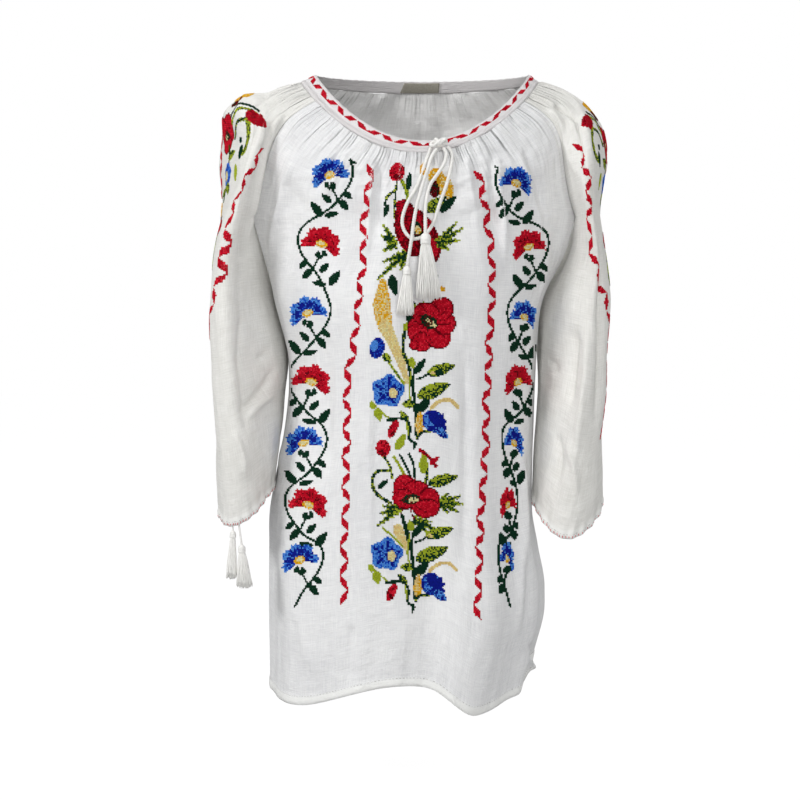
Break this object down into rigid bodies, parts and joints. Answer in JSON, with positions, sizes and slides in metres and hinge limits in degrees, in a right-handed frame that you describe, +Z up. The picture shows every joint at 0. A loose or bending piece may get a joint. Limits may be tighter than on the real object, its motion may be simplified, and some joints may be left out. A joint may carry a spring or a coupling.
{
  "type": "blouse",
  "caption": "White gathered raglan folk blouse, filled out as if worn, with embroidered front and sleeves, tied drawcord and tassels.",
  "frame": {"origin": "midway between the two places where the neckband rests on the wearer's shoulders", "axes": "+Z up, -Y towards the front, +X towards the viewer's right when facing the front"},
  "size_m": [0.4651, 0.2573, 0.7245],
  "materials": {
    "linen": "white plain-weave linen and cotton, with cross-stitch embroidery",
    "band_linen": "white plain weave with a red cross-stitch border",
    "cotton_cord": "white twisted cotton",
    "woven_tape": "grey-beige woven tape, blank"
  },
  "bodies": {
    "root": {"front": "linen", "back": "linen", "sleeve_left": "linen", "sleeve_right": "linen", "neckband": "band_linen", "label": "woven_tape", "neck_knot": "cotton_cord", "cord_left": "cotton_cord", "cord_right": "cotton_cord", "cord_loop": "cotton_cord", "neck_tassel_1": "cotton_cord", "neck_tassel_2": "cotton_cord", "cuff_tassel_1": "cotton_cord", "cuff_tassel_2": "cotton_cord"}
  },
  "joints": []
}
